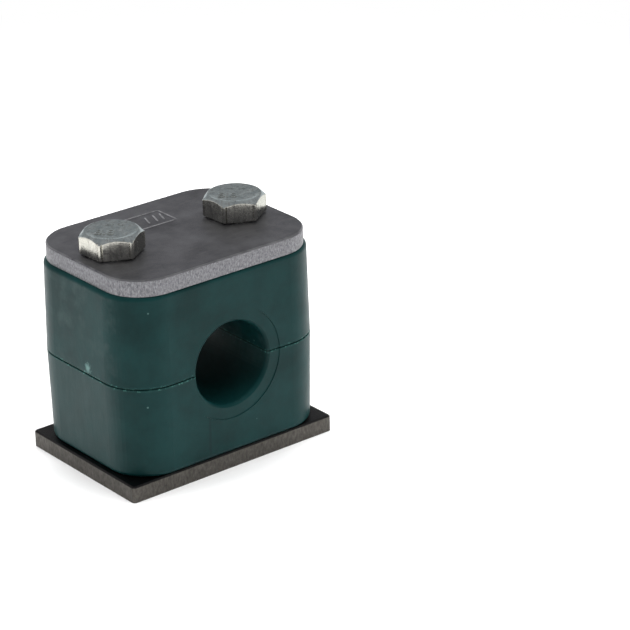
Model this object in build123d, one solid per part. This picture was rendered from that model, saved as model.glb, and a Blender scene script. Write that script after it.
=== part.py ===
"""Light-duty hydraulic tube clamp: two moulded halves bolted between a weld plate and a cover plate.

Frame: X along the line of the two bolts, Y along the tube, Z up. The origin is the bottom centre of the
weld plate. All sizes are in millimetres. One STEP file is written for each physical piece.
"""

from build123d import *
import os

# Driving sizes. The moulded halves are measured at the parting plane, where the mould is widest.
HALF_LENGTH = 42.0
HALF_WIDTH = 30.8
HALF_HEIGHT = 16.5
TUBE_DIAMETER = 15.0
PLATE_THICKNESS = 3.0

# Moulded halves.
HALF_CORNER_RADIUS = 8.0
DRAFT_ANGLE = 1.2
OUTER_EDGE_RADIUS = 0.8
PARTING_EDGE_BREAK = 0.2
BORE_MOUTH_RADIUS = 1.0
MOUTH_EXIT_ANGLE = 10.0
INSERT_MARK_RADIUS = TUBE_DIAMETER / 2 + 2.6
INSERT_MARK_DEPTH = 0.12

# Plates, set back from the halves or standing out past them.
COVER_SETBACK = 1.0
WELD_MARGIN = 0.5
PLATE_SIDE_SETBACK = 0.4
COVER_CORNER_RADIUS = HALF_CORNER_RADIUS - 0.5
WELD_CORNER_RADIUS = 0.6
PLATE_EDGE_BREAK = 0.25
COLLAR_DIAMETER = 9.6
COLLAR_HEIGHT = 3.5
COLLAR_MOUTH_DEPTH = 1.2

# M6 x 35 hexagon head bolts. The tip stops in the collar, one pitch above the weld plate's upper face.
BOLT_END_DISTANCE = 8.0
THREAD_DIAMETER = 6.0
THREAD_PITCH = 1.0
SHANK_DIAMETER = THREAD_DIAMETER - 0.1
TIP_CHAMFER = 0.8
HEAD_HEIGHT = 4.0
HEAD_ACROSS_FLATS = 9.84
HEAD_CORNER_ROUNDING = 0.35
HEAD_TOP_DIAMETER = 9.5
HEAD_CHAMFER_ANGLE = 30.0
WASHER_FACE_DIAMETER = 9.2
WASHER_FACE_HEIGHT = 0.15
LEFT_HEAD_TURN = 3.5
RIGHT_HEAD_TURN = 1.0

# Clearances.
THREAD_CLEARANCE = 0.05
BOLT_HOLE_CLEARANCE = 0.5
COLLAR_RADIAL_CLEARANCE = 0.5
COLLAR_END_CLEARANCE = 0.5

# Positions and sizes that follow from the values above.
COVER_LENGTH = HALF_LENGTH - 2 * COVER_SETBACK
WELD_PLATE_LENGTH = HALF_LENGTH + 2 * WELD_MARGIN
PLATE_WIDTH = HALF_WIDTH - 2 * PLATE_SIDE_SETBACK
BOLT_LENGTH = 2 * HALF_HEIGHT + PLATE_THICKNESS - THREAD_PITCH
BOLT_X = HALF_LENGTH / 2 - BOLT_END_DISTANCE
PARTING_Z = PLATE_THICKNESS + HALF_HEIGHT
COVER_Z = PARTING_Z + HALF_HEIGHT
HEAD_Z = COVER_Z + PLATE_THICKNESS
TAPPED_HOLE_RADIUS = SHANK_DIAMETER / 2 + THREAD_CLEARANCE
BOLT_HOLE_RADIUS = THREAD_DIAMETER / 2 + BOLT_HOLE_CLEARANCE
COLLAR_POCKET_RADIUS = COLLAR_DIAMETER / 2 + COLLAR_RADIAL_CLEARANCE
COLLAR_POCKET_DEPTH = COLLAR_HEIGHT + COLLAR_END_CLEARANCE
BOLT_PLACES = [(-BOLT_X, 0), (BOLT_X, 0)]


def rounded_plate(length, width, corner_radius, thickness):
    """Flat plate standing on z = 0 with rounded corners and its upper edge broken."""
    plate = extrude(RectangleRounded(length, width, corner_radius), amount=thickness)
    top_edges = plate.faces().sort_by(Axis.Z)[-1].outer_wire().edges()
    return chamfer(top_edges, PLATE_EDGE_BREAK)


def weld_plate():
    """Lower plate, with a threaded collar drawn up from it for each bolt."""
    plate = rounded_plate(WELD_PLATE_LENGTH, PLATE_WIDTH, WELD_CORNER_RADIUS, PLATE_THICKNESS)
    collar_top = PLATE_THICKNESS + COLLAR_HEIGHT
    for x, y in BOLT_PLACES:
        collar = Pos(x, y, collar_top / 2) * Cylinder(COLLAR_DIAMETER / 2, collar_top)
        collar = chamfer(collar.edges().group_by(Axis.Z)[-1], PLATE_EDGE_BREAK)
        plate += collar
    for x, y in BOLT_PLACES:
        mouth = Cone(
            TAPPED_HOLE_RADIUS + COLLAR_MOUTH_DEPTH,
            TAPPED_HOLE_RADIUS,
            COLLAR_MOUTH_DEPTH,
        )
        plate -= Pos(x, y, collar_top / 2) * Cylinder(TAPPED_HOLE_RADIUS, 2 * collar_top)
        plate -= Pos(x, y, COLLAR_MOUTH_DEPTH / 2) * mouth
    return plate


def cover_plate():
    """Upper plate that spreads the pull of the bolt heads over the upper half."""
    plate = rounded_plate(COVER_LENGTH, PLATE_WIDTH, COVER_CORNER_RADIUS, PLATE_THICKNESS)
    for x, y in BOLT_PLACES:
        plate -= Pos(x, y, 0) * Cylinder(BOLT_HOLE_RADIUS, 4 * PLATE_THICKNESS)
    return Pos(0, 0, COVER_Z) * plate


def drafted_block(inset):
    """Block standing on the parting plane, narrower towards its outer face; inset shrinks it all round."""
    outline = RectangleRounded(
        HALF_LENGTH - 2 * inset,
        HALF_WIDTH - 2 * inset,
        HALF_CORNER_RADIUS - inset,
    )
    return extrude(outline, amount=HALF_HEIGHT, taper=DRAFT_ANGLE)


def bore_mouth():
    """Waste outside the rounded mouth of the bore at +Y, square to the drafted end face."""
    bore = TUBE_DIAMETER / 2
    rim = bore + BORE_MOUTH_RADIUS
    arc_end = rim + BORE_MOUTH_RADIUS * tan_degrees(-MOUTH_EXIT_ANGLE)
    arc = RadiusArc((bore, -BORE_MOUTH_RADIUS), (arc_end, 0), BORE_MOUTH_RADIUS)
    rest = Polyline((arc_end, 0), (rim, 1), (0, 1), (0, -BORE_MOUTH_RADIUS), (bore, -BORE_MOUTH_RADIUS))
    profile = make_face([arc, rest])
    waste = revolve(profile, Axis.Y)
    return Pos(0, HALF_WIDTH / 2, 0) * Rot(DRAFT_ANGLE, 0, 0) * waste


def moulded_half():
    """One half with its parting plane on z = 0 and its outer face up."""
    # The four corners are alike, so one quarter of the drafted form is made and mirrored twice.
    block = drafted_block(0)
    block = fillet(block.faces().sort_by(Axis.Z)[-1].outer_wire().edges(), OUTER_EDGE_RADIUS)
    quarter = block & (Pos(HALF_LENGTH / 2, HALF_WIDTH / 2, 0) * Box(HALF_LENGTH, HALF_WIDTH, 4 * HALF_HEIGHT))
    side = quarter + mirror(quarter, Plane.XZ)
    half = side + mirror(side, Plane.YZ)

    # The mould's exchangeable bore insert leaves a shallow round mark on both end faces.
    insert_mark = Rot(90, 0, 0) * Cylinder(INSERT_MARK_RADIUS, 2 * HALF_WIDTH)
    half -= insert_mark - drafted_block(INSERT_MARK_DEPTH)

    half -= Rot(90, 0, 0) * Cylinder(TUBE_DIAMETER / 2, 2 * HALF_WIDTH)
    half -= bore_mouth()
    half -= Rot(0, 0, 180) * bore_mouth()
    parting_edges = [
        edge
        for edge in half.edges()
        if edge.bounding_box().max.Z < 0.001 and abs((edge @ 0.5).X) > TUBE_DIAMETER / 2 + BORE_MOUTH_RADIUS
    ]
    half = chamfer(parting_edges, PARTING_EDGE_BREAK)

    for x, y in BOLT_PLACES:
        half -= Pos(x, y, 0) * Cylinder(BOLT_HOLE_RADIUS, 3 * HALF_HEIGHT)
        pocket = Cylinder(COLLAR_POCKET_RADIUS, 2 * COLLAR_POCKET_DEPTH)
        half -= Pos(x, y, HALF_HEIGHT) * pocket
    return half


def upper_half():
    """Half above the tube."""
    return Pos(0, 0, PARTING_Z) * moulded_half()


def lower_half():
    """The same moulding turned over, below the tube."""
    return Pos(0, 0, PARTING_Z) * Rot(0, 180, 0) * moulded_half()


def hexagon_bolt(x, head_turn):
    """Hexagon head bolt, threaded all the way, its head seated on the cover plate."""
    hexagon = RegularPolygon(HEAD_ACROSS_FLATS / 2, 6, major_radius=False)
    hexagon = fillet(hexagon.vertices(), HEAD_CORNER_ROUNDING)
    prism_height = HEAD_HEIGHT - WASHER_FACE_HEIGHT
    prism = Pos(0, 0, WASHER_FACE_HEIGHT) * extrude(hexagon, amount=prism_height)
    foot_radius = HEAD_TOP_DIAMETER / 2 + HEAD_HEIGHT / tan_degrees(HEAD_CHAMFER_ANGLE)
    cone = Pos(0, 0, HEAD_HEIGHT / 2) * Cone(foot_radius, HEAD_TOP_DIAMETER / 2, HEAD_HEIGHT)
    head = Rot(0, 0, head_turn) * (prism & cone)
    washer_face = Pos(0, 0, WASHER_FACE_HEIGHT / 2) * Cylinder(WASHER_FACE_DIAMETER / 2, WASHER_FACE_HEIGHT)
    shank = Cylinder(SHANK_DIAMETER / 2, BOLT_LENGTH)
    shank = chamfer(shank.edges().group_by(Axis.Z)[0], TIP_CHAMFER)
    bolt = head + washer_face + Pos(0, 0, -BOLT_LENGTH / 2) * shank
    return Pos(x, 0, HEAD_Z) * bolt


def tan_degrees(angle):
    """Tangent of an angle in degrees."""
    direction = Vector(1, 0, 0).rotate(Axis.Z, angle)
    return direction.Y / direction.X


os.makedirs("parts", exist_ok=True)
export_step(weld_plate(), "parts/weld_plate.step")
export_step(lower_half(), "parts/lower_half.step")
export_step(upper_half(), "parts/upper_half.step")
export_step(cover_plate(), "parts/cover_plate.step")
export_step(hexagon_bolt(-BOLT_X, LEFT_HEAD_TURN), "parts/left_bolt.step")
export_step(hexagon_bolt(BOLT_X, RIGHT_HEAD_TURN), "parts/right_bolt.step")
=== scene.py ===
import math

import bpy
import numpy as np
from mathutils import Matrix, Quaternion, Vector


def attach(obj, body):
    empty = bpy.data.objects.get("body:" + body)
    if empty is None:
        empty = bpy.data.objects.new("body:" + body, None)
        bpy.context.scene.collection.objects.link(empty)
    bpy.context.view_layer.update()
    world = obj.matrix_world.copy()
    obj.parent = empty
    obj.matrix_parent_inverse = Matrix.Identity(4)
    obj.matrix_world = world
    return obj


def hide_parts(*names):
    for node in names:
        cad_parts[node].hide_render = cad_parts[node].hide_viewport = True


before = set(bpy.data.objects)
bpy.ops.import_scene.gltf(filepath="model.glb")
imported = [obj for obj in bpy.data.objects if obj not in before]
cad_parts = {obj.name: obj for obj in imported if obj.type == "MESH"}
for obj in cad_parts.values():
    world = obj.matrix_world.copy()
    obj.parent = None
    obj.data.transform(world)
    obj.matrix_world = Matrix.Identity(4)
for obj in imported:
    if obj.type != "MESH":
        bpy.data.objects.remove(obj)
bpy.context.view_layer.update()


# ---------------------------------------------------------------------------------------------
# The studio: a white table that runs off into a white room, soft daylight panels, and a long lens
# looking down on the clamp from in front of its left end. Places and sizes are in millimetres.
# ---------------------------------------------------------------------------------------------

MM = 0.001
CAMERA_PLACE = Vector((-250.16, -349.31, 208.95)) * MM
CAMERA_AIM = Vector((23.72, -8.27, 19.40)) * MM
CAMERA_ROLL = -1.2
FOCAL_LENGTH = 154.23
PANEL_AIM = Vector((0, 0, 20)) * MM
FILL_LIGHT = 0.36
CEILING_LIGHT = 0.30
BOARD_REACH = 3000.0
SWEEP_START, SWEEP_END = 100.0, 260.0


def linear(colour):
    """sRGB hex text turned into linear red, green and blue, with an alpha of 1."""
    parts = [int(colour[i:i + 2], 16) / 255 for i in (1, 3, 5)]
    parts = [p / 12.92 if p <= 0.04045 else ((p + 0.055) / 1.055) ** 2.4 for p in parts]
    return (*parts, 1.0)


def add(tree, kind, inputs=None, **settings):
    """Adds one node. inputs maps an input's name, or its place among those in use, to a node or socket that
    feeds it, to a value, or to a colour as sRGB hex text. settings are the node's own properties."""
    node = tree.nodes.new(kind)
    for name, value in settings.items():
        setattr(node, name, value)
    sockets = [socket for socket in node.inputs if socket.enabled]
    for name, value in (inputs or {}).items():
        socket = sockets[name] if isinstance(name, int) else next(s for s in sockets if s.name == name)
        if isinstance(value, bpy.types.Node):
            value = next(s for s in value.outputs if s.enabled)
        if isinstance(value, bpy.types.NodeSocket):
            tree.links.new(value, socket)
        else:
            socket.default_value = linear(value) if isinstance(value, str) else value
    return node


def new_material(name):
    """Empty node material, with its tree, its Principled shader, and its Object coordinates in mm."""
    material = bpy.data.materials.new(name)
    material.use_nodes = True
    tree = material.node_tree
    tree.nodes.clear()
    shader = add(tree, "ShaderNodeBsdfPrincipled")
    add(tree, "ShaderNodeOutputMaterial", {"Surface": shader})
    place = add(tree, "ShaderNodeTexCoord").outputs["Object"]
    in_mm = add(tree, "ShaderNodeVectorMath", {0: place, "Scale": 1 / MM}, operation="SCALE")
    return material, tree, shader, in_mm


def new_piece(name, mesh):
    """Object that shows a finished mesh where it lies."""
    piece = bpy.data.objects.new(name, mesh)
    bpy.context.scene.collection.objects.link(piece)
    return piece


def soft_panel(name, place_mm, size_mm, watts):
    """Rectangular softbox at a place in mm, turned to face the clamp's middle. It lights dull surfaces and
    is not seen in the metal, which mirrors the room alone."""
    light = bpy.data.lights.new(name, "AREA")
    light.shape = "RECTANGLE"
    light.size, light.size_y = (side * MM for side in size_mm)
    light.energy = watts
    panel = bpy.data.objects.new(name, light)
    panel.location = Vector(place_mm) * MM
    panel.rotation_mode = "QUATERNION"
    panel.rotation_quaternion = (PANEL_AIM - panel.location).to_track_quat("-Z", "Y")
    panel.visible_glossy = False
    bpy.context.scene.collection.objects.link(panel)


lens = bpy.data.cameras.new("lens")
lens.lens = FOCAL_LENGTH
lens.sensor_width = 36.0
lens.clip_start = 10 * MM
camera = bpy.data.objects.new("camera", lens)
camera.location = CAMERA_PLACE
towards_aim = (CAMERA_AIM - CAMERA_PLACE).to_track_quat("-Z", "Y")
camera.rotation_mode = "QUATERNION"
camera.rotation_quaternion = towards_aim @ Quaternion((0, 0, 1), math.radians(CAMERA_ROLL))
bpy.context.scene.collection.objects.link(camera)
bpy.context.scene.camera = camera
bpy.context.scene.view_settings.view_transform = "Standard"

soft_panel("overhead_panel", (60, 40, 420), (420, 420), 3.2)
soft_panel("left_panel", (-400, 230, 200), (300, 260), 0.75)
soft_panel("front_panel", (270, -400, 240), (260, 260), 0.9)

# The room is white at the horizon, like the table, with a dim ceiling that only shows in the metal.
room = bpy.data.worlds.new("white_room")
bpy.context.scene.world = room
room.use_nodes = True
tree = room.node_tree
tree.nodes.clear()
rays = add(tree, "ShaderNodeLightPath")
mirrored = add(tree, "ShaderNodeMath", {0: rays.outputs["Is Glossy Ray"],
                                        1: rays.outputs["Is Transmission Ray"]}, operation="MAXIMUM")
towards = add(tree, "ShaderNodeSeparateXYZ", {0: add(tree, "ShaderNodeTexCoord").outputs["Generated"]})
ceiling = add(tree, "ShaderNodeMapRange", {"Value": towards.outputs["Z"], "From Min": 0.05, "From Max": 0.30,
                                           "To Min": 1.0, "To Max": CEILING_LIGHT})
unseen = add(tree, "ShaderNodeMix", {"Factor": mirrored, "A": FILL_LIGHT, "B": ceiling}, data_type="FLOAT")
strength = add(tree, "ShaderNodeMix", {"Factor": rays.outputs["Is Camera Ray"], "A": unseen, "B": 1.0},
               data_type="FLOAT")
sky = add(tree, "ShaderNodeBackground", {"Color": "#ffffff", "Strength": strength})
add(tree, "ShaderNodeOutputWorld", {"Surface": sky})

# The table is a large laminate board, an even white with no shine. Near the clamp it takes its light and
# shadow from the panels. Further off, where they don't reach, it is plain white to every ray that sees it,
# as a paper sweep would be, and lights nothing.
corner = BOARD_REACH * MM
board_mesh = bpy.data.meshes.new("table_board")
board_mesh.from_pydata([(-corner, -corner, 0), (corner, -corner, 0), (corner, corner, 0),
                        (-corner, corner, 0)], [], [(0, 1, 2, 3)])
board = new_piece("table_board", board_mesh)
white_board, tree, shader, in_mm = new_material("matt white laminate")
shader.inputs["Base Color"].default_value = linear("#fafafa")
shader.inputs["Roughness"].default_value = 0.9
shader.inputs["Specular IOR Level"].default_value = 0.0
rays = add(tree, "ShaderNodeLightPath")
seen = add(tree, "ShaderNodeMath", {0: rays.outputs["Is Glossy Ray"],
                                    1: rays.outputs["Is Transmission Ray"]}, operation="MAXIMUM")
seen = add(tree, "ShaderNodeMath", {0: seen, 1: rays.outputs["Is Camera Ray"]}, operation="MAXIMUM")
distance = add(tree, "ShaderNodeVectorMath", {0: in_mm}, operation="LENGTH").outputs["Value"]
further = add(tree, "ShaderNodeMapRange", {"Value": distance, "From Min": SWEEP_START,
                                           "From Max": SWEEP_END}, interpolation_type="SMOOTHSTEP")
sweep = add(tree, "ShaderNodeMath", {0: further, 1: seen}, operation="MULTIPLY")
plain_white = add(tree, "ShaderNodeEmission", {"Color": "#ffffff", "Strength": 1.0})
surface = add(tree, "ShaderNodeMixShader", {0: sweep, 1: shader, 2: plain_white})
output = next(node for node in tree.nodes if node.type == "OUTPUT_MATERIAL")
tree.links.new(surface.outputs[0], output.inputs["Surface"])
board_mesh.materials.append(white_board)


# ---------------------------------------------------------------------------------------------
# Weld plate: a blank sheared from 3 mm hot-rolled mild steel, with an extruded collar tapped M6 under
# each bolt. Its faces keep their dark mill scale, blotched and dull, and its sides show the grey torn
# grain of the shear cut, drawn out upwards.
# ---------------------------------------------------------------------------------------------

# Sizes of the patterns. Mill scale's own grit is a few hundredths of a millimetre, and is drawn coarser so
# that it shows.
MILL_BLOTCH = 2.86
TORN_GRAIN = 0.455
MILL_GRIT = 0.25

mill_scale, tree, shader, in_mm = new_material("hot-rolled mild steel")
shader.inputs["Metallic"].default_value = 1.0
normal = add(tree, "ShaderNodeSeparateXYZ", {0: add(tree, "ShaderNodeNewGeometry").outputs["True Normal"]})
flatness = add(tree, "ShaderNodeMath", {0: normal.outputs["Z"]}, operation="ABSOLUTE")
cut_side = add(tree, "ShaderNodeMapRange", {"Value": flatness, "From Min": 0.3, "From Max": 0.8,
                                            "To Min": 1.0, "To Max": 0.0})
blotches = add(tree, "ShaderNodeTexNoise", {"Vector": in_mm, "Scale": 1 / MILL_BLOTCH, "Detail": 6.0,
                                            "Roughness": 0.65})
darker = add(tree, "ShaderNodeMapRange", {"Value": blotches, "From Min": 0.32, "From Max": 0.68})
scale_colour = add(tree, "ShaderNodeMix", {"Factor": darker, "A": "#2b2b2d", "B": "#3d3d3f"},
                   data_type="RGBA")
upright = add(tree, "ShaderNodeMapping", {"Vector": in_mm, "Scale": (1, 1, 0.5)})
tearing = add(tree, "ShaderNodeTexNoise", {"Vector": upright, "Scale": 1 / TORN_GRAIN, "Detail": 5.0,
                                           "Roughness": 0.65})
torn = add(tree, "ShaderNodeMapRange", {"Value": tearing, "From Min": 0.3, "From Max": 0.7})
torn_colour = add(tree, "ShaderNodeMix", {"Factor": torn, "A": "#45423f", "B": "#65625d"}, data_type="RGBA")
colour = add(tree, "ShaderNodeMix", {"Factor": cut_side, "A": scale_colour, "B": torn_colour},
             data_type="RGBA")
tree.links.new(colour.outputs["Result"], shader.inputs["Base Color"])
grit = add(tree, "ShaderNodeTexNoise", {"Vector": in_mm, "Scale": 1 / MILL_GRIT, "Detail": 3.0})
height = add(tree, "ShaderNodeMix", {"Factor": cut_side, "A": grit, "B": tearing}, data_type="FLOAT")
bump = add(tree, "ShaderNodeBump", {"Height": height, "Strength": 0.6, "Distance": 0.08 * MM})
tree.links.new(bump.outputs[0], shader.inputs["Normal"])
dull = add(tree, "ShaderNodeMapRange", {"Value": blotches, "From Min": 0.3, "From Max": 0.7,
                                        "To Min": 0.42, "To Max": 0.6})
tree.links.new(dull.outputs[0], shader.inputs["Roughness"])

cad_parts["weld_plate"].material_slots[0].material = mill_scale


# ---------------------------------------------------------------------------------------------
# Clamp halves: one injection moulding in green polypropylene, used twice, the upper one turned over.
# The skin is dull and waxy, so it shows soft light and no mirror images; the end faces are painted a paler
# grey, partly a painted sheen for the soft light glancing off them and partly scuffing from handling, with
# paler rubbed streaks.
# ---------------------------------------------------------------------------------------------

PARTING = 19.5
SCUFF_PLACE = (-20.9, -2.5, 20.7)
KNIT_LINE_X = -5.2
KNIT_LINE_TOP = 10.9

# Sizes of the patterns. The skin's spark-eroded grain is drawn ten times too coarse, because the real one
# is too fine to show.
FLOW_MARK = 10.0
BLOOM_PATCH = 5.88
RUB_STREAK = 2.0
FLASH_FLECK = 0.588
SPECK_SPACING = 5.88
SKIN_GRAIN = 0.333

moulding, tree, shader, in_mm = new_material("injection moulded polypropylene")
shader.inputs["IOR"].default_value = 1.49
shader.inputs["Specular IOR Level"].default_value = 0.12
place = add(tree, "ShaderNodeSeparateXYZ", {0: in_mm})
normal = add(tree, "ShaderNodeSeparateXYZ", {0: add(tree, "ShaderNodeNewGeometry").outputs["True Normal"]})
flow = add(tree, "ShaderNodeTexNoise", {"Vector": in_mm, "Scale": 1 / FLOW_MARK, "Detail": 4.0,
                                        "Roughness": 0.6})
flow = add(tree, "ShaderNodeMapRange", {"Value": flow, "From Min": 0.35, "From Max": 0.65})
colour = add(tree, "ShaderNodeMix", {"Factor": flow, "A": "#082828", "B": "#0e3434"}, data_type="RGBA")

# Painted sheen on the two end faces, mixed with bloom and rubbing: cloudy grey patches broken into faint
# upright streaks, laid on by the faces' direction. The lower half has more of it.
end_face = add(tree, "ShaderNodeMath", {0: normal.outputs["X"]}, operation="ABSOLUTE")
end_face = add(tree, "ShaderNodeMapRange", {"Value": end_face, "From Min": 0.88, "From Max": 0.985})
upright = add(tree, "ShaderNodeMapping", {"Vector": in_mm, "Scale": (1, 1, 0.3)})
streaks = add(tree, "ShaderNodeTexNoise", {"Vector": upright, "Scale": 1 / RUB_STREAK, "Detail": 7.0,
                                           "Roughness": 0.68})
patches = add(tree, "ShaderNodeTexNoise", {"Vector": in_mm, "Scale": 1 / BLOOM_PATCH, "Detail": 6.0,
                                           "Roughness": 0.62})
in_lower = add(tree, "ShaderNodeMath", {0: place.outputs["Z"], 1: PARTING}, operation="LESS_THAN")
least = add(tree, "ShaderNodeMath", {0: in_lower, 1: 0.6}, operation="MULTIPLY")
cloudy = add(tree, "ShaderNodeMapRange", {"Value": patches, "From Min": 0.46, "From Max": 0.62,
                                          "To Min": least})
broken = add(tree, "ShaderNodeMapRange", {"Value": streaks, "From Min": 0.35, "From Max": 0.62,
                                          "To Min": 0.45})
sheen_and_rub = add(tree, "ShaderNodeMath", {0: cloudy, 1: broken}, operation="MULTIPLY")
sheen_and_rub = add(tree, "ShaderNodeMath", {0: sheen_and_rub, 1: end_face}, operation="MULTIPLY")
# The grey laid on the end faces here is partly a painted sheen, partly bloom and rubbing.
colour = add(tree, "ShaderNodeMix", {"Factor": sheen_and_rub, "A": colour, "B": "#2a3f3f"}, data_type="RGBA")

# Flash on the parting line: a whitened edge that fades out half a millimetre away, brightest in short
# flecks. It is on the walls alone, not on the faces that meet there.
above = add(tree, "ShaderNodeMath", {0: place.outputs["Z"], 1: PARTING}, operation="SUBTRACT")
away = add(tree, "ShaderNodeMath", {0: above}, operation="ABSOLUTE")
flatness = add(tree, "ShaderNodeMath", {0: normal.outputs["Z"]}, operation="ABSOLUTE")
wall = add(tree, "ShaderNodeMapRange", {"Value": flatness, "From Min": 0.75, "From Max": 0.95,
                                        "To Min": 1.0, "To Max": 0.0})
lip = add(tree, "ShaderNodeMapRange", {"Value": away, "From Min": 0.18, "From Max": 0.5, "To Min": 1.0,
                                       "To Max": 0.0})
flecks = add(tree, "ShaderNodeTexNoise", {"Vector": in_mm, "Scale": 1 / FLASH_FLECK, "Detail": 3.0,
                                          "Roughness": 0.6})
chipped = add(tree, "ShaderNodeMapRange", {"Value": flecks, "From Min": 0.54, "From Max": 0.7,
                                           "To Min": 0.07})
flash = add(tree, "ShaderNodeMath", {0: lip, 1: chipped}, operation="MULTIPLY")
flash = add(tree, "ShaderNodeMath", {0: flash, 1: wall}, operation="MULTIPLY")
colour = add(tree, "ShaderNodeMix", {"Factor": flash, "A": colour, "B": "#4b7f77"}, data_type="RGBA")

# Loose specks about 0.3 mm across, and one ragged nick a millimetre across, rubbed on the left end face.
speck = add(tree, "ShaderNodeTexVoronoi", {"Vector": in_mm, "Scale": 1 / SPECK_SPACING})
speck = add(tree, "ShaderNodeMapRange", {"Value": speck, "From Min": 0.018, "From Max": 0.035,
                                         "To Min": 0.35, "To Max": 0.0})
nick = add(tree, "ShaderNodeVectorMath", {0: in_mm, 1: SCUFF_PLACE}, operation="DISTANCE")
nick = add(tree, "ShaderNodeMath", {0: nick, 1: flecks}, operation="DIVIDE")
nick = add(tree, "ShaderNodeMapRange", {"Value": nick, "From Min": 0.5, "From Max": 2.2, "To Min": 0.75,
                                        "To Max": 0.0})
marks = add(tree, "ShaderNodeMath", {0: speck, 1: nick}, operation="MAXIMUM")
colour = add(tree, "ShaderNodeMix", {"Factor": marks, "A": colour, "B": "#6f9490"}, data_type="RGBA")

# Knit line: a faint upright stripe below the bore, where two streams of plastic met in the mould.
aside = add(tree, "ShaderNodeMath", {0: place.outputs["X"], 1: KNIT_LINE_X}, operation="SUBTRACT")
aside = add(tree, "ShaderNodeMath", {0: aside}, operation="ABSOLUTE")
knit = add(tree, "ShaderNodeMapRange", {"Value": aside, "From Min": 0.15, "From Max": 0.35, "To Min": 0.5,
                                        "To Max": 0.0})
below = add(tree, "ShaderNodeMath", {0: place.outputs["Z"], 1: KNIT_LINE_TOP}, operation="LESS_THAN")
knit = add(tree, "ShaderNodeMath", {0: knit, 1: below}, operation="MULTIPLY")
colour = add(tree, "ShaderNodeMix", {"Factor": knit, "A": colour, "B": "#0c2324"}, data_type="RGBA")

# Dirt in the joint itself, a dark hairline between the two lips of flash.
joint = add(tree, "ShaderNodeMapRange", {"Value": away, "From Min": 0.05, "From Max": 0.16, "To Min": 0.8,
                                         "To Max": 0.0})
joint = add(tree, "ShaderNodeMath", {0: joint, 1: wall}, operation="MULTIPLY")
colour = add(tree, "ShaderNodeMix", {"Factor": joint, "A": colour, "B": "#031011"}, data_type="RGBA")
tree.links.new(colour.outputs["Result"], shader.inputs["Base Color"])

skin = add(tree, "ShaderNodeTexNoise", {"Vector": in_mm, "Scale": 1 / SKIN_GRAIN, "Detail": 4.0})
bump = add(tree, "ShaderNodeBump", {"Height": skin, "Strength": 0.3, "Distance": 0.04 * MM})
bump = add(tree, "ShaderNodeBump", {"Height": streaks, "Normal": bump, "Strength": 0.25,
                                    "Distance": 0.1 * MM})
tree.links.new(bump.outputs[0], shader.inputs["Normal"])
dull = add(tree, "ShaderNodeMapRange", {"Value": patches, "From Min": 0.3, "From Max": 0.7,
                                        "To Min": 0.32, "To Max": 0.46})
tree.links.new(dull.outputs[0], shader.inputs["Roughness"])

for name in ("lower_half", "upper_half"):
    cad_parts[name].material_slots[0].material = moulding


# ---------------------------------------------------------------------------------------------
# Cover plate: punched from 3 mm steel strip and zinc plated. Its face is smooth and faintly clouded,
# its sides show the grain of the punched edge, and a plain frame with three bars is stamped into it.
# ---------------------------------------------------------------------------------------------

# Sizes of the patterns. Zinc's own crystals are a few hundredths of a millimetre, and are drawn coarser so
# that they show.
ZINC_CLOUD = 7.69
DRAG_STREAK = 1.67
PUNCHED_GRAIN = 0.278
ZINC_CRYSTAL = 0.2

plating, tree, shader, in_mm = new_material("zinc-plated steel")
shader.inputs["Metallic"].default_value = 1.0
normal = add(tree, "ShaderNodeSeparateXYZ", {0: add(tree, "ShaderNodeNewGeometry").outputs["True Normal"]})
punched = add(tree, "ShaderNodeMapRange", {"Value": normal.outputs["Z"], "From Min": 0.2, "From Max": 0.75,
                                           "To Min": 1.0, "To Max": 0.0})
cloud = add(tree, "ShaderNodeTexNoise", {"Vector": in_mm, "Scale": 1 / ZINC_CLOUD, "Detail": 8.0,
                                         "Roughness": 0.68})
clouded = add(tree, "ShaderNodeMapRange", {"Value": cloud, "From Min": 0.34, "From Max": 0.66})
face_colour = add(tree, "ShaderNodeMix", {"Factor": clouded, "A": "#6e6e74", "B": "#a0a0a6"},
                  data_type="RGBA")

# Bright streaks where the strip was dragged, along the plate's length.
lengthways = add(tree, "ShaderNodeMapping", {"Vector": in_mm, "Scale": (0.3, 1.7, 1)})
drag = add(tree, "ShaderNodeTexNoise", {"Vector": lengthways, "Scale": 1 / DRAG_STREAK, "Detail": 7.0,
                                        "Roughness": 0.7})
dragged = add(tree, "ShaderNodeMapRange", {"Value": drag, "From Min": 0.55, "From Max": 0.75,
                                           "To Max": 0.35})
face_colour = add(tree, "ShaderNodeMix", {"Factor": dragged, "A": face_colour, "B": "#b0b0b6"},
                  data_type="RGBA")

# The punched sides, and the 45 degree edge break, lightened in patches as a painted highlight along the
# plate's edges.
upright = add(tree, "ShaderNodeMapping", {"Vector": in_mm, "Scale": (1, 1, 0.55)})
grain = add(tree, "ShaderNodeTexNoise", {"Vector": upright, "Scale": 1 / PUNCHED_GRAIN, "Detail": 4.0,
                                         "Roughness": 0.75})
grained = add(tree, "ShaderNodeMapRange", {"Value": grain, "From Min": 0.34, "From Max": 0.68})
side_colour = add(tree, "ShaderNodeMix", {"Factor": grained, "A": "#56565a", "B": "#949497"},
                  data_type="RGBA")
colour = add(tree, "ShaderNodeMix", {"Factor": punched, "A": face_colour, "B": side_colour},
             data_type="RGBA")
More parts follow.
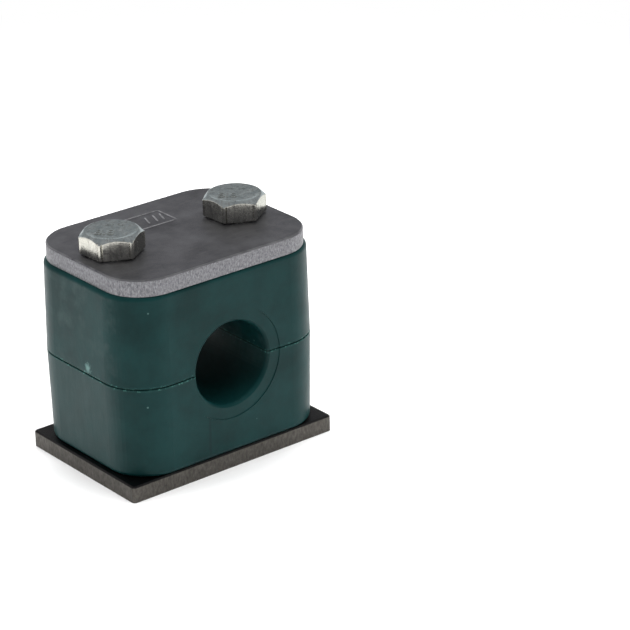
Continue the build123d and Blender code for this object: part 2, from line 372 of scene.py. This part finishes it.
# Painted highlight: the edge break, facing 45 degrees up, is given a lighter colour in patches.
edge_break = add(tree, "ShaderNodeMath", {0: normal.outputs["Z"], 1: 0.707, 2: 0.15}, operation="COMPARE")
painted_edge_highlight = add(tree, "ShaderNodeMath", {0: edge_break, 1: clouded}, operation="MULTIPLY")
colour = add(tree, "ShaderNodeMix", {"Factor": painted_edge_highlight, "A": colour, "B": "#c2c2c5"}, data_type="RGBA")
tree.links.new(colour.outputs["Result"], shader.inputs["Base Color"])
fine = add(tree, "ShaderNodeTexNoise", {"Vector": in_mm, "Scale": 1 / ZINC_CRYSTAL, "Detail": 3.0})
height = add(tree, "ShaderNodeMix", {"Factor": punched, "A": fine, "B": grain}, data_type="FLOAT")
bump = add(tree, "ShaderNodeBump", {"Height": height, "Strength": 0.5, "Distance": 0.08 * MM})
tree.links.new(bump.outputs[0], shader.inputs["Normal"])
dull = add(tree, "ShaderNodeMapRange", {"Value": cloud, "From Min": 0.3, "From Max": 0.7, "To Min": 0.4,
                                        "To Max": 0.56})
tree.links.new(dull.outputs[0], shader.inputs["Roughness"])

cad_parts["cover_plate"].material_slots[0].material = plating

COVER_TOP = 39.0
FRAME_LEFT, FRAME_RIGHT, FRAME_FRONT, FRAME_BACK = -6.9, 3.9, 4.7, 10.3
BAR_PLACES = (-0.8, 0.9, 2.3)
BAR_LEAN = 0.9
BAR_MARGIN = 1.4
STROKE_WIDTH = 0.32
STROKE_HEIGHT = 0.12
STROKE_SUNK = 0.01


def stamped_strokes(name, strokes, floor, width, height):
    """Low ridges of pushed-up metal along straight strokes. Each is a half ellipse carried from end to end:
    across = width / 2 * cos(a), up = height * sin(a), narrowed towards its two ends and closed there. Its
    foot is sunk a little in the metal."""
    turn = np.linspace(0, math.pi, 9)
    run = np.array([0.0, 0.02, 0.08, 0.5, 0.92, 0.98, 1.0])
    swell = np.array([0.1, 0.6, 1.0, 1.0, 1.0, 0.6, 0.1])
    start, end = np.moveaxis(np.array(strokes, float), 1, 0)
    ahead = (end - start) / np.linalg.norm(end - start, axis=1, keepdims=True)
    across = np.stack([-ahead[:, 1], ahead[:, 0]], -1)
    line = start[:, None] + run[None, :, None] * (end - start)[:, None]
    aside = width / 2 * np.outer(swell, np.cos(turn))
    flat = line[:, :, None] + aside[None, :, :, None] * across[:, None, None]
    lift = floor - STROKE_SUNK + (height + STROKE_SUNK) * np.outer(swell, np.sin(turn))
    lift = np.broadcast_to(lift[None, :, :, None], flat.shape[:3] + (1,))
    points = np.concatenate([flat, lift], -1).reshape(-1, 3) * MM
    grid = np.arange(len(points)).reshape(flat.shape[:3])
    beside = np.roll(grid, -1, axis=2)
    sides = np.stack([grid[:, :-1], beside[:, :-1], beside[:, 1:], grid[:, 1:]], -1).reshape(-1, 4)
    caps = grid[:, 0, ::-1].tolist() + grid[:, -1].tolist()
    mesh = bpy.data.meshes.new(name)
    mesh.from_pydata(points.tolist(), [], sides.tolist() + caps)
    mesh.polygons.foreach_set("use_smooth", np.ones(len(mesh.polygons), bool))
    mesh.update()
    return new_piece(name, mesh)


corners = [(FRAME_LEFT, FRAME_FRONT), (FRAME_RIGHT, FRAME_FRONT), (FRAME_RIGHT, FRAME_BACK),
           (FRAME_LEFT, FRAME_BACK)]
outline = list(zip(corners, corners[1:] + corners[:1]))
bars = [((x, FRAME_FRONT + BAR_MARGIN), (x + BAR_LEAN, FRAME_BACK - BAR_MARGIN)) for x in BAR_PLACES]
stamp = stamped_strokes("stamped_frame", outline + bars, COVER_TOP, STROKE_WIDTH, STROKE_HEIGHT)

# The ridges stand proud, so they are rubbed bright, in patches, and catch the light against the duller face;
# their light colour is partly a painted highlight.
WEAR_PATCH = 0.833
rubbed_and_highlighted_plating, tree, shader, in_mm = new_material("zinc-plated steel, rubbed, with painted highlight")
shader.inputs["Metallic"].default_value = 1.0
wear = add(tree, "ShaderNodeTexNoise", {"Vector": in_mm, "Scale": 1 / WEAR_PATCH, "Detail": 5.0,
                                        "Roughness": 0.6})
worn = add(tree, "ShaderNodeMapRange", {"Value": wear, "From Min": 0.35, "From Max": 0.65})
# Both colours are far lighter than the plate's face: partly rubbed metal, partly a painted highlight.
colour = add(tree, "ShaderNodeMix", {"Factor": worn, "A": "#b4b4b8", "B": "#e6e6ea"}, data_type="RGBA")
tree.links.new(colour.outputs["Result"], shader.inputs["Base Color"])
dull = add(tree, "ShaderNodeMapRange", {"Value": wear, "From Min": 0.3, "From Max": 0.7, "To Min": 0.28,
                                        "To Max": 0.4})
tree.links.new(dull.outputs[0], shader.inputs["Roughness"])
stamp.data.materials.append(rubbed_and_highlighted_plating)
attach(stamp, "top")


# ---------------------------------------------------------------------------------------------
# Bolts: cold-headed M6 x 35 hexagon bolts, rolled thread to the head, bright zinc plated. Each is one
# surface carried round the bolt's axis, from the tip to the middle of the head.
# ---------------------------------------------------------------------------------------------

BOLT_TIP = 4.0
TIP_FLAT = 1.2
TIP_RADIUS = 2.15
TIP_TAPER = 0.9
PITCH = 1.0
CREST_RADIUS = 2.95
ROOT_RADIUS = 2.40
FLANK_RISE = 2.6
ROOT_FLAT = 0.25
NECK_RADIUS = 2.62
NECK_LENGTH = 1.6
RUN_OUT = 0.6
HEAD_UNDERSIDE = 39.0
THREAD_TOP = HEAD_UNDERSIDE - 0.5
WASHER_FACE_RADIUS = 4.6
WASHER_FACE = 0.15
FLAT_TO_AXIS = 4.92
HEX_CORNER_ROUNDING = 0.35
HEAD_TOP = 43.0
HEAD_TOP_RADIUS = 4.62
HEAD_FACE = 42.78
CHAMFER_ANGLE = 38.0
CHAMFER_TOP = HEAD_TOP - 0.06
POINTS_ROUND = 192
RINGS_A_PITCH = 10

# Rounded edges, ring by ring: how far in from the hexagon and above the washer face at the head's foot,
# and how far in from the hexagon and below the chamfer's cone at its brow.
FOOT_ROUNDING = ((0.30, 0.0), (0.12, 0.04), (0.03, 0.12), (0.0, 0.22))
BROW_ROUNDING = ((0.0, 0.25), (0.0, 0.10), (0.02, 0.03), (0.07, -0.03))


def hexagon_radius(angle):
    """Distance from the axis to a hexagon with rounded corners, with flats facing 0, 60, ... degrees.
    It is the flat's line, apothem / cos(a), up to where the corner circle's far side lies nearer."""
    a = (angle + math.pi / 6) % (math.pi / 3) - math.pi / 6
    flat = FLAT_TO_AXIS / np.cos(a)
    corner = math.pi / 6 - np.abs(a)
    centre = (FLAT_TO_AXIS - HEX_CORNER_ROUNDING) / math.cos(math.pi / 6)
    reach = HEX_CORNER_ROUNDING ** 2 - (centre * np.sin(corner)) ** 2
    rounded = centre * np.cos(corner) + np.sqrt(np.maximum(reach, 0))
    return np.where(reach > 0, np.minimum(flat, rounded), flat)


def plain_rings(angle, profile):
    """Rings of one radius at one height all round, from pairs of radius and height."""
    return [(np.full_like(angle, radius), np.full_like(angle, height)) for radius, height in profile]


def bolt_rings(angle):
    """Radius and height of every ring, from the middle of the tip to the middle of the head, as two arrays
    of rings by angles. The thread's radius is a trapezoid wave of height / pitch - angle / turn, cut by a
    cone at the tip, and fades into a plain neck under the head. The head's is the hexagon's, cut by the
    chamfer's cone: brow = top - (radius - top radius) * tan(chamfer angle)."""
    turn = angle / (2 * math.pi)
    z = np.arange(BOLT_TIP, THREAD_TOP, PITCH / RINGS_A_PITCH)[:, None] + 0 * turn
    phase = (z / PITCH - turn) % 1.0
    wave = np.clip(np.abs(phase - 0.5) * FLANK_RISE - ROOT_FLAT, 0, 1)
    thread = ROOT_RADIUS + (CREST_RADIUS - ROOT_RADIUS) * wave
    thread = np.minimum(thread, TIP_RADIUS + (z - BOLT_TIP) * TIP_TAPER)
    fade = np.clip((HEAD_UNDERSIDE - NECK_LENGTH - z) / RUN_OUT, 0, 1)
    thread = NECK_RADIUS + (thread - NECK_RADIUS) * fade
    hexagon = hexagon_radius(angle)
    foot = HEAD_UNDERSIDE + WASHER_FACE
    brow = CHAMFER_TOP - (hexagon - HEAD_TOP_RADIUS) * math.tan(math.radians(CHAMFER_ANGLE))

    rings = plain_rings(angle, [(0.0, BOLT_TIP), (TIP_FLAT, BOLT_TIP)])
    rings += zip(thread, z)
    rings += plain_rings(angle, [
        (NECK_RADIUS, HEAD_UNDERSIDE - 0.35), (NECK_RADIUS + 0.10, HEAD_UNDERSIDE - 0.12),
        (NECK_RADIUS + 0.33, HEAD_UNDERSIDE), (WASHER_FACE_RADIUS - 0.05, HEAD_UNDERSIDE),
        (WASHER_FACE_RADIUS, HEAD_UNDERSIDE + 0.05), (WASHER_FACE_RADIUS, foot)])
    rings += [(hexagon - inward, np.full_like(angle, foot + up)) for inward, up in FOOT_ROUNDING]
    rings += [(hexagon - inward, brow - down) for inward, down in BROW_ROUNDING]
    rings += plain_rings(angle, [
        (HEAD_TOP_RADIUS + 0.12, HEAD_TOP - 0.10), (HEAD_TOP_RADIUS, HEAD_TOP - 0.04),
        (HEAD_TOP_RADIUS - 0.12, HEAD_TOP - 0.02), (HEAD_TOP_RADIUS - 0.5, HEAD_FACE + 0.04),
        (3.4, HEAD_FACE), (1.7, HEAD_FACE), (0.0, HEAD_FACE)])
    radii, heights = zip(*rings)
    return np.array(radii), np.array(heights)


def hexagon_bolt(name, axis_x, head_turn):
    """Closed mesh of the rings round a vertical axis: point = axis + radius (cos, sin), height. The first
    and last rings are poles, each one point."""
    angle = np.linspace(0, 2 * math.pi, POINTS_ROUND, endpoint=False)
    radii, heights = bolt_rings(angle)
    swing = angle + math.radians(head_turn)
    rings = np.stack([axis_x + radii * np.cos(swing), radii * np.sin(swing), heights], -1)[1:-1]
    poles = [(axis_x, 0, BOLT_TIP), (axis_x, 0, HEAD_FACE)]
    points = np.vstack([rings.reshape(-1, 3), poles]) * MM
    grid = np.arange(len(points) - 2).reshape(-1, POINTS_ROUND)
    onward = np.roll(grid, -1, axis=1)
    sides = np.stack([grid[:-1], onward[:-1], onward[1:], grid[1:]], -1).reshape(-1, 4)
    tip_fan = np.stack([np.full(POINTS_ROUND, grid.size), onward[0], grid[0]], -1)
    head_fan = np.stack([np.full(POINTS_ROUND, grid.size + 1), grid[-1], onward[-1]], -1)
    mesh = bpy.data.meshes.new(name)
    mesh.from_pydata(points.tolist(), [], sides.tolist() + tip_fan.tolist() + head_fan.tolist())
    mesh.polygons.foreach_set("use_smooth", np.ones(len(mesh.polygons), bool))
    mesh.set_sharp_from_angle(angle=math.radians(40))
    mesh.update()
    return new_piece(name, mesh)


# Bright zinc over a cold-headed surface: the top is a bluish white in soft clouds of tone, and the flats are
# painted a warmer grey, a painted reflection of the warm highlights they take, with the upright scores of
# the heading die, half a millimetre apart.
BOLT_CLOUD = 1.43
DIE_SCORE = 0.588
bright_zinc, tree, shader, in_mm = new_material("bright zinc-plated steel")
shader.inputs["Metallic"].default_value = 1.0
shader.inputs["Specular Tint"].default_value = linear("#d6dada")
cloud = add(tree, "ShaderNodeTexNoise", {"Vector": in_mm, "Scale": 1 / BOLT_CLOUD, "Detail": 6.0,
                                         "Roughness": 0.65})
clouded = add(tree, "ShaderNodeMapRange", {"Value": cloud, "From Min": 0.32, "From Max": 0.68})
blue = add(tree, "ShaderNodeMix", {"Factor": clouded, "A": "#bcc8cc", "B": "#e2e9ea"}, data_type="RGBA")
# Painted reflection: the flats, found by their facing, get a warmer grey than the top.
painted_warm_reflection = add(tree, "ShaderNodeMix", {"Factor": clouded, "A": "#b4b3ab", "B": "#cfcdc4"}, data_type="RGBA")
normal = add(tree, "ShaderNodeSeparateXYZ", {0: add(tree, "ShaderNodeNewGeometry").outputs["True Normal"]})
flank = add(tree, "ShaderNodeMapRange", {"Value": normal.outputs["Z"], "From Min": 0.2, "From Max": 0.6,
                                         "To Min": 1.0, "To Max": 0.0})
silver = add(tree, "ShaderNodeMix", {"Factor": flank, "A": blue, "B": painted_warm_reflection}, data_type="RGBA")
upright = add(tree, "ShaderNodeMapping", {"Vector": in_mm, "Scale": (1, 1, 0.22)})
drawn = add(tree, "ShaderNodeTexNoise", {"Vector": upright, "Scale": 1 / DIE_SCORE, "Detail": 5.0,
                                         "Roughness": 0.65})
scored = add(tree, "ShaderNodeMapRange", {"Value": drawn, "From Min": 0.5, "From Max": 0.72, "To Max": 0.7})
colour = add(tree, "ShaderNodeMix", {"Factor": scored, "A": silver, "B": "#8f8c86"}, data_type="RGBA")
tree.links.new(colour.outputs["Result"], shader.inputs["Base Color"])
bump = add(tree, "ShaderNodeBump", {"Height": cloud, "Strength": 0.35, "Distance": 0.08 * MM})
bump = add(tree, "ShaderNodeBump", {"Height": drawn, "Normal": bump, "Strength": 0.3,
                                    "Distance": 0.08 * MM})
tree.links.new(bump.outputs[0], shader.inputs["Normal"])
smooth = add(tree, "ShaderNodeMapRange", {"Value": cloud, "From Min": 0.3, "From Max": 0.7,
                                          "To Min": 0.16, "To Max": 0.28})
dull = add(tree, "ShaderNodeMath", {0: flank, 1: 0.04, 2: smooth}, operation="MULTIPLY_ADD")
tree.links.new(dull.outputs[0], shader.inputs["Roughness"])

# Marks raised on each head: the strength class, and two plain dashes beside it.
MARK_SIZE = 2.9
MARK_TURN = -42.0
MARK_SHIFT = (-1.1, -0.9)
MARK_RELIEF = 0.16
MARK_THINNING = 0.12
DASH_ENDS = ((-1.5, 2.6), (0.1, 2.9), (0.7, 2.9), (1.7, 2.5))
DASH_WIDTH = 0.45
DASH_HEIGHT = 0.15


def turned(flat, axis_x, angle):
    """Flat points in mm turned about the bolt's axis: x' = axis + x cos - y sin, y' = x sin + y cos."""
    cos, sin = math.cos(math.radians(angle)), math.sin(math.radians(angle))
    x, y = flat.T
    return np.stack([axis_x + x * cos - y * sin, x * sin + y * cos], -1)


def strength_mark(name, axis_x):
    """Strength class figures with rounded strokes raised on the head, made a mesh before their place is
    applied."""
    words = bpy.data.curves.new(name, "FONT")
    words.body = "8.8"
    words.size = MARK_SIZE * MM
    words.offset = -MARK_THINNING * MM
    words.bevel_depth = MARK_RELIEF * MM
    words.bevel_resolution = 2
    words.align_x = "CENTER"
    words.align_y = "CENTER"
    text = new_piece(name, words)
    bpy.context.view_layer.update()
    mesh = bpy.data.meshes.new_from_object(text.evaluated_get(bpy.context.evaluated_depsgraph_get()))
    bpy.data.objects.remove(text)
    points = np.empty(len(mesh.vertices) * 3)
    mesh.vertices.foreach_get("co", points)
    points = points.reshape(-1, 3) / MM
    flat = turned(points[:, :2] + np.array(MARK_SHIFT), axis_x, MARK_TURN)
    points = np.column_stack([flat, points[:, 2] + HEAD_FACE])
    mesh.vertices.foreach_set("co", (points * MM).ravel())
    mesh.update()
    return new_piece(name, mesh)


for side, axis_x, head_turn in (("left", -13.0, 2.5), ("right", 13.0, 3.0)):
    bolt = hexagon_bolt(side + "_hexagon_bolt", axis_x, head_turn)
    bolt.data.materials.append(bright_zinc)
    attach(bolt, side + "_bolt")
    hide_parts(side + "_bolt")
    figures = strength_mark(side + "_strength_mark", axis_x)
    ends = turned(np.array(DASH_ENDS), axis_x, MARK_TURN)
    dashes = stamped_strokes(side + "_head_dashes", [(ends[0], ends[1]), (ends[2], ends[3])], HEAD_FACE,
                             DASH_WIDTH, DASH_HEIGHT)
    for mark in (figures, dashes):
        mark.data.materials.append(bright_zinc)
        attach(mark, side + "_bolt")
